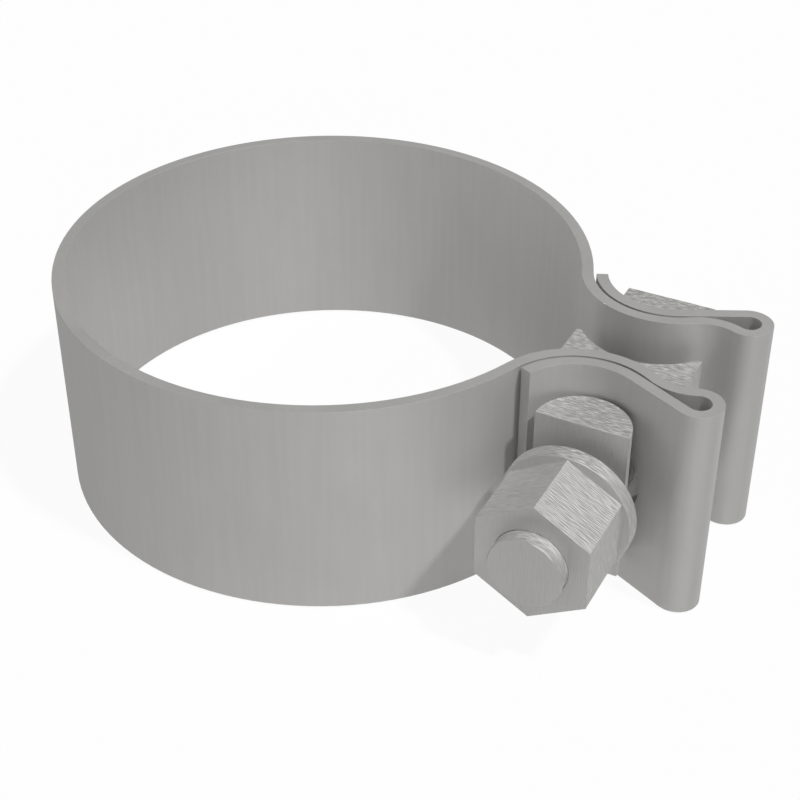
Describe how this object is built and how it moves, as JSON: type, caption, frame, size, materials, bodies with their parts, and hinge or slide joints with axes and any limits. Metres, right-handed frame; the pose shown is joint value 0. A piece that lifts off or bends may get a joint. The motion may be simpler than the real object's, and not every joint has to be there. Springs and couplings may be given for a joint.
{
  "type": "exhaust clamp",
  "caption": "Band clamp for a lapped exhaust joint: a folded sheet ring with looped ears, drawn together by a bolt through a hollowed spacer block, with a half-round bar, washer and hex nut.",
  "frame": {"origin": "on the axis of the pipe that the ring goes around, at the middle of the band's width", "axes": "+Z along the pipe, +X from the pipe's axis towards the ears, the bolt along Y with the nut on the -Y side"},
  "size_m": [0.0997, 0.0756, 0.0318],
  "materials": {
    "strip_steel": "satin, smooth rolled strip",
    "machined_steel": "satin, finely brushed"
  },
  "bodies": {
    "clamp": {"band": "strip_steel", "t_bolt": "machined_steel", "half_round_bar": "machined_steel"},
    "spacer": {"spacer_block": "machined_steel"},
    "washer": {"flat_washer": "machined_steel"},
    "nut": {"hex_nut": "machined_steel"}
  },
  "joints": [
    {"name": "spacer_slide", "type": "slide", "parent": "clamp", "child": "spacer", "axis": [0, 1, 0], "range_m": [-0.002, 0.002]},
    {"name": "nut_travel", "type": "slide", "parent": "clamp", "child": "washer", "axis": [0, 1, 0], "range_m": [-0.00827, 0.00202]},
    {"name": "nut_turn", "type": "hinge", "parent": "washer", "child": "nut", "pos_m": [0.04537, -0.025, 0], "axis": [0, 1, 0], "range_deg": [-1980, 480]}
  ],
  "couplings": [
    {"joint": "nut_travel", "follows": "nut_turn", "m_per_rad": 0.00023873}
  ]
}
